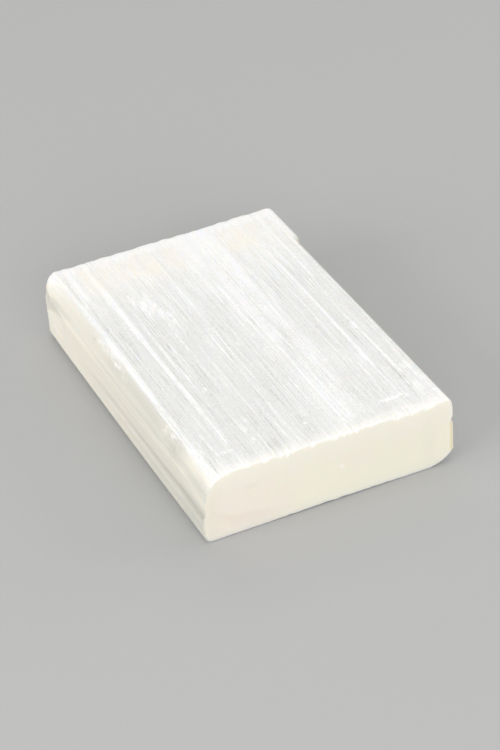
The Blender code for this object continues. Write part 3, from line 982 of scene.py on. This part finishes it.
# Where the colours of the sawn ends change, with how far clouds in the stone shift a border.
PINK_X = (-0.0085, -0.0145)
PINK_CLOUD = 0.012
PINK_PATCH = ((0.007, 0.0, 0.01), (0.0062, 0.0, 0.0034))
PINK_PATCH_SHARE = 0.7
PALE_Z = (0.011, 0.015)
PALE_CLOUD = -0.004
LEFT_SHADE_X = (-0.0268, -0.0314, 0.0, 0.52)
RIM_X = (0.0304, 0.0309, 0.0, 0.85)
RIM_Z = (0.0126, 0.0112)

# The old parting low on the left: its height from the left on, and the stain under it.
PARTING_LEFT = (-0.03, -0.025, 0.0082, 0.0056)
PARTING_RIGHT = (-0.025, -0.009, 0.0, -0.0024)
PARTING_CLOUD = 0.0012
STAIN_BORDER = (0.0006, -0.0006)
STAIN_DEPTH = (-0.0042, -0.0006, 0.15, 1.0)
STAIN_RIGHT_X = (-0.009, -0.023, 0.0, 0.68)
STAIN_LEFT_X = (-0.031, -0.0262, 0.35, 1.0)

# Spots on the sawn ends: place across and up, half width, half height, how strong, and colour.
END_SPOTS = (
    (0.025, 0.0074, 0.0022, 0.0085, 0.16, END_SHADE),
    (-0.0204, 0.012, 0.0022, 0.0009, 0.26, END_SHADE),
    (0.0024, 0.0092, 0.0007, 0.0005, 0.45, WHITE_FIBRES),
)

# Small scratches and specks on the top: place, half width, half length, and how white they are.
SCRATCHES = (
    (0.0166, -0.0427, 0.0009, 0.00075, 0.6),
    (0.0183, -0.043, 0.0014, 0.0008, 0.9),
    (0.0199, -0.0429, 0.0012, 0.0009, 1.0),
    (0.0214, -0.0427, 0.001, 0.00075, 0.9),
    (0.0228, -0.0434, 0.0009, 0.0008, 0.6),
    (-0.024, -0.0428, 0.0016, 0.0009, 0.3),
    (-0.0222, -0.0431, 0.0014, 0.0008, 0.25),
    (0.0136, -0.0212, 0.0024, 0.00045, 0.24),
    (0.016, -0.0209, 0.0014, 0.0004, 0.16),
    (0.0112, -0.0226, 0.0016, 0.0004, 0.2),
    (-0.0168, -0.0182, 0.0006, 0.0009, 0.8),
    (-0.0176, -0.019, 0.0004, 0.0008, 0.4),
    (-0.0024, -0.0416, 0.0005, 0.0008, 0.8),
    (-0.0153, -0.0415, 0.0005, 0.001, 0.7),
)

stone = bpy.data.materials.new("satin_spar")
stone.use_nodes = True
tree = stone.node_tree
shader = tree.nodes["Principled BSDF"]


def add_node(kind, inputs, **settings):
    """A node with its settings and inputs. An input is a value, or another node's socket."""
    made = tree.nodes.new("ShaderNode" + kind)
    for name, value in settings.items():
        setattr(made, name, value)
    for socket, value in inputs.items():
        if isinstance(value, bpy.types.NodeSocket):
            tree.links.new(value, made.inputs[socket])
        else:
            made.inputs[socket].default_value = value
    return made


place = add_node("TexCoord", {}).outputs["Object"]
across_x, along_y, up_z = add_node("SeparateXYZ", {0: place}).outputs[:3]


def mark(name):
    """The value of one of the markings on the skin."""
    return add_node("Attribute", {}, attribute_name=name).outputs["Fac"]


def maths(operation, first, *others):
    """The first value put together with each of the others in turn."""
    for other in others:
        first = add_node("Math", {0: first, 1: other}, operation=operation).outputs[0]
    return first


def ranged(value, low, high, to_low=0.0, to_high=1.0):
    """Value stretched from the range low to high onto another range, and held there."""
    source = {"Value": value, "From Min": low, "From Max": high}
    target = {"To Min": to_low, "To Max": to_high}
    return add_node("MapRange", {**source, **target}).outputs["Result"]


def mixed(share, first, last):
    """A colour that goes from first to last with share."""
    colours = {6: (*first, 1.0) if isinstance(first, tuple) else first}
    colours[7] = (*last, 1.0) if isinstance(last, tuple) else last
    return add_node("Mix", {0: share, **colours}, data_type="RGBA").outputs[2]


def fibre_noise(width, run, detail=2.0):
    """Noise that is width across the fibres and run along them."""
    stretched = add_node("Mapping", {"Vector": place, "Scale": (1 / width, 1 / run, 1 / width)})
    inputs = {"Vector": stretched.outputs[0], "Scale": 1.0, "Detail": detail, "Roughness": 0.6}
    return add_node("TexNoise", inputs).outputs["Fac"]


def spot(centre, radii):
    """1 inside a small oval and 0 outside it. A radius of 0 lets it run through the whole slab."""
    scales = [1 / radius if radius else 0.0 for radius in radii]
    offset = [-middle * scale for middle, scale in zip(centre, scales)]
    around = add_node("Mapping", {"Vector": place, "Scale": scales, "Location": offset}).outputs[0]
    away = add_node("VectorMath", {0: around}, operation="LENGTH").outputs["Value"]
    return ranged(away, 1.0, 0.5)


def clouded(value, size):
    """A value that clouds in the stone shift by up to size either way."""
    return maths("ADD", value, ranged(cloud, 0.0, 1.0, -size, size))


# The grain of the stone, from single hairs to broad clouds: width, run and detail of each.
hairs = fibre_noise(0.00022, 0.014, 1.0)
threads = fibre_noise(0.00034, 0.021, 2.0)
strands = fibre_noise(0.00075, 0.03, 1.0)
silk = fibre_noise(0.0022, 0.028, 2.0)
calm = fibre_noise(0.0042, 0.011, 2.0)
grit = fibre_noise(0.00027, 0.0007, 1.0)
cloud = fibre_noise(0.005, 0.007, 3.0)

# The fibres show on all but the sawn ends, and less on the frayed front end of the top.
off_ends = ranged(mark("end"), 0.0, 1.0, 1.0, 0.0)
lengthwise = maths("MULTIPLY", off_ends, ranged(along_y, *FRONT_CALM_Y))

# Single white threads and a few dark gaps, more of them in some bundles than in others.
clear_thread = maths("ADD", ranged(threads, *WHITE_THREADS), ranged(threads, *DARK_THREADS))
clear_thread = maths("ADD", clear_thread, ranged(hairs, *HAIRLINES))
clear_strand = maths("ADD", ranged(strands, *WHITE_STRANDS), ranged(strands, *DARK_STRANDS))
thread_white = maths("ADD", clear_thread, clear_strand)
thread_white = maths("MULTIPLY", thread_white, ranged(calm, *CALM_BUNDLES))
ground_white = maths("ADD", ranged(grit, *LOOSE_GRIT), ranged(silk, *LOOSE_SILK))
loose_white = maths("MULTIPLY", maths("ADD", thread_white, ground_white), lengthwise)

# Scratches and bruises, broken up by the threads and the grit.
scratched = 0.0
for centre_x, centre_y, half_width, half_length, strength in SCRATCHES:
    scratch = spot((centre_x, centre_y, 0.0), (half_width, half_length, 0.0))
    scratched = maths("ADD", scratched, maths("MULTIPLY", scratch, strength))
scratched = maths("MULTIPLY", scratched, ranged(grit, *SCRATCH_GRIT), lengthwise)
bruised = maths("ADD", mark("white"), scratched)
broken = (ranged(threads, *BRUISED_THREADS), ranged(grit, *BRUISED_GRIT))
whiteness = maths("ADD", maths("MULTIPLY", bruised, *broken), loose_white)

# The fibres of the top, and the cream of the sides.
fibres = mixed(ranged(whiteness, 0.0, 1.0), CLEAR_FIBRES, WHITE_FIBRES)
fibres = mixed(ranged(whiteness, *GAP_RANGE), fibres, DARK_GAP)
fibres = mixed(maths("MULTIPLY", mark("peach"), PEACH_SHARE), fibres, PEACH_TINT)
# The grey mark also carries the painted shade of the facet at the back of the left side.
cream_grey = maths("ADD", mark("grey"), ranged(strands, *SIDE_STRANDS))
cream = mixed(cream_grey, SIDE_CREAM, SIDE_GREY)
cream = mixed(ranged(mark("white"), *SIDE_BRUISES), cream, WHITE_FIBRES)
cream = mixed(ranged(mark("white"), *SIDE_HOLLOWS), cream, DARK_GAP)
fibres = mixed(mark("side"), fibres, cream)

# The sawn ends are paler along the top, pinker on the left, greener on the right, and a
# stain follows an old parting low on the left.
pink_patch = maths("MULTIPLY", spot(*PINK_PATCH), PINK_PATCH_SHARE)
pink = maths("MAXIMUM", ranged(clouded(across_x, PINK_CLOUD), *PINK_X), pink_patch)
sawn = mixed(pink, END_GREEN, END_PINK)
sawn = mixed(ranged(clouded(up_z, PALE_CLOUD), *PALE_Z), sawn, END_CREAM)
parting_z = clouded(ranged(across_x, *PARTING_LEFT), PARTING_CLOUD)
parting_z = maths("ADD", parting_z, ranged(across_x, *PARTING_RIGHT))
above = maths("SUBTRACT", up_z, parting_z)
stained = maths("MULTIPLY", ranged(above, *STAIN_BORDER), ranged(above, *STAIN_DEPTH))
for border in (STAIN_RIGHT_X, STAIN_LEFT_X):
    stained = maths("MULTIPLY", stained, ranged(across_x, *border))
sawn = mixed(stained, sawn, END_STAIN)
sawn = mixed(ranged(across_x, *LEFT_SHADE_X), sawn, END_SHADE)
rim = maths("MULTIPLY", ranged(across_x, *RIM_X), ranged(up_z, *RIM_Z))
sawn = mixed(rim, sawn, END_RIM)
for centre_x, centre_z, half_width, half_height, strength, tint in END_SPOTS:
    end_spot = spot((centre_x, 0.0, centre_z), (half_width, 0.0, half_height))
    sawn = mixed(maths("MULTIPLY", end_spot, strength), sawn, tint)
colour = mixed(mark("end"), fibres, sawn)
# The open seam is darkened with brown painted shade.
dirty = maths("MULTIPLY", mark("dirt"), ranged(strands, *SEAM_SHADE_STRANDS))
tree.links.new(mixed(dirty, colour, SEAM_SHADE_BROWN), shader.inputs["Base Color"])

rough = ranged(whiteness, 0.0, 1.0, CLEAR_ROUGHNESS, WHITE_ROUGHNESS)
rough = maths("ADD", rough, maths("MULTIPLY", mark("end"), -END_SMOOTHNESS))
tree.links.new(rough, shader.inputs["Roughness"])
height = maths("ADD", threads, maths("MULTIPLY", strands, STRAND_BUMP))
height = maths("MULTIPLY", height, lengthwise)
bump = add_node("Bump", {"Height": height, "Distance": THREAD_BUMP, "Strength": BUMP_STRENGTH})
tree.links.new(bump.outputs["Normal"], shader.inputs["Normal"])
shader.inputs["IOR"].default_value = GYPSUM_IOR
shader.inputs["Subsurface Weight"].default_value = MILKINESS
shader.inputs["Subsurface Radius"].default_value = LIGHT_SPREAD
shader.inputs["Subsurface Scale"].default_value = LIGHT_REACH
mesh.materials.append(stone)

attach(slab, "root")
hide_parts("selenite_slab")


# ---- The table top
# The slab lies on a plain, pale grey, matt table top that runs out of view on every side.

TABLE_HALF = 1.5
TABLE_GREY = (0.47, 0.47, 0.465, 1.0)
TABLE_ROUGHNESS = 0.9

corners = [(x * TABLE_HALF, y * TABLE_HALF, 0.0) for x, y in ((-1, -1), (1, -1), (1, 1), (-1, 1))]
table_mesh = bpy.data.meshes.new("table_top")
table_mesh.from_pydata(corners, [], [(0, 1, 2, 3)])
paper = bpy.data.materials.new("matt_grey")
paper.use_nodes = True
paper_shader = paper.node_tree.nodes["Principled BSDF"]
paper_shader.inputs["Base Color"].default_value = TABLE_GREY
paper_shader.inputs["Roughness"].default_value = TABLE_ROUGHNESS
table_mesh.materials.append(paper)
table_top = add_object("table_top", table_mesh)


# ---- The lights
# A light tent: an even white sky, soft panels on the front, the left and the right, one overhead,
# and one beyond the slab whose reflection brings out the sheen of the fibres.

SKY_WHITE = (1.0, 1.0, 1.0, 1.0)
SKY_STRENGTH = 0.545
PANELS = (
    # name, place, side lengths, power in watts
    ("overhead", (-0.05, 0.05, 1.0), (0.9, 0.9), 1.0),
    ("front", (-0.15, -1.0, 0.4), (0.9, 0.5), 5.2),
    ("left", (-1.0, -0.2, 0.4), (0.9, 0.5), 5.5),
    ("right", (1.0, -0.1, 0.45), (0.9, 0.5), 2.3),
    ("beyond", (0.34, 0.8, 0.62), (0.9, 0.35), 1.5),
)

sky = bpy.data.worlds.new("light_tent")
sky.use_nodes = True
backdrop = sky.node_tree.nodes["Background"]
backdrop.inputs["Color"].default_value = SKY_WHITE
backdrop.inputs["Strength"].default_value = SKY_STRENGTH
bpy.context.scene.world = sky
for name, stand, (long_side, short_side), power in PANELS:
    panel = bpy.data.lights.new(name, "AREA")
    panel.shape = "RECTANGLE"
    panel.size, panel.size_y = long_side, short_side
    panel.energy = power
    holder = add_object(name, panel)
    holder.location = stand
    holder.rotation_euler = Vector(stand).to_track_quat("Z", "Y").to_euler()


# ---- The camera
# A long lens looks down on the slab from its front left corner, turned a little about its own
# axis, with everything in focus.

CAMERA_PLACE = (-0.18537, -0.44847, 0.3399)
CAMERA_TURN = (55.327, 3.386, -25.046)
CAMERA_LENS = 115.5
CAMERA_SENSOR = 36.0
CAMERA_NEAREST = 0.01

camera = bpy.data.cameras.new("camera")
camera.lens = CAMERA_LENS
camera.sensor_width = CAMERA_SENSOR
camera.clip_start = CAMERA_NEAREST
viewer = add_object("camera", camera)
viewer.location = CAMERA_PLACE
viewer.rotation_euler = Euler([radians(angle) for angle in CAMERA_TURN])
bpy.context.scene.camera = viewer
bpy.context.scene.view_settings.view_transform = "Standard"
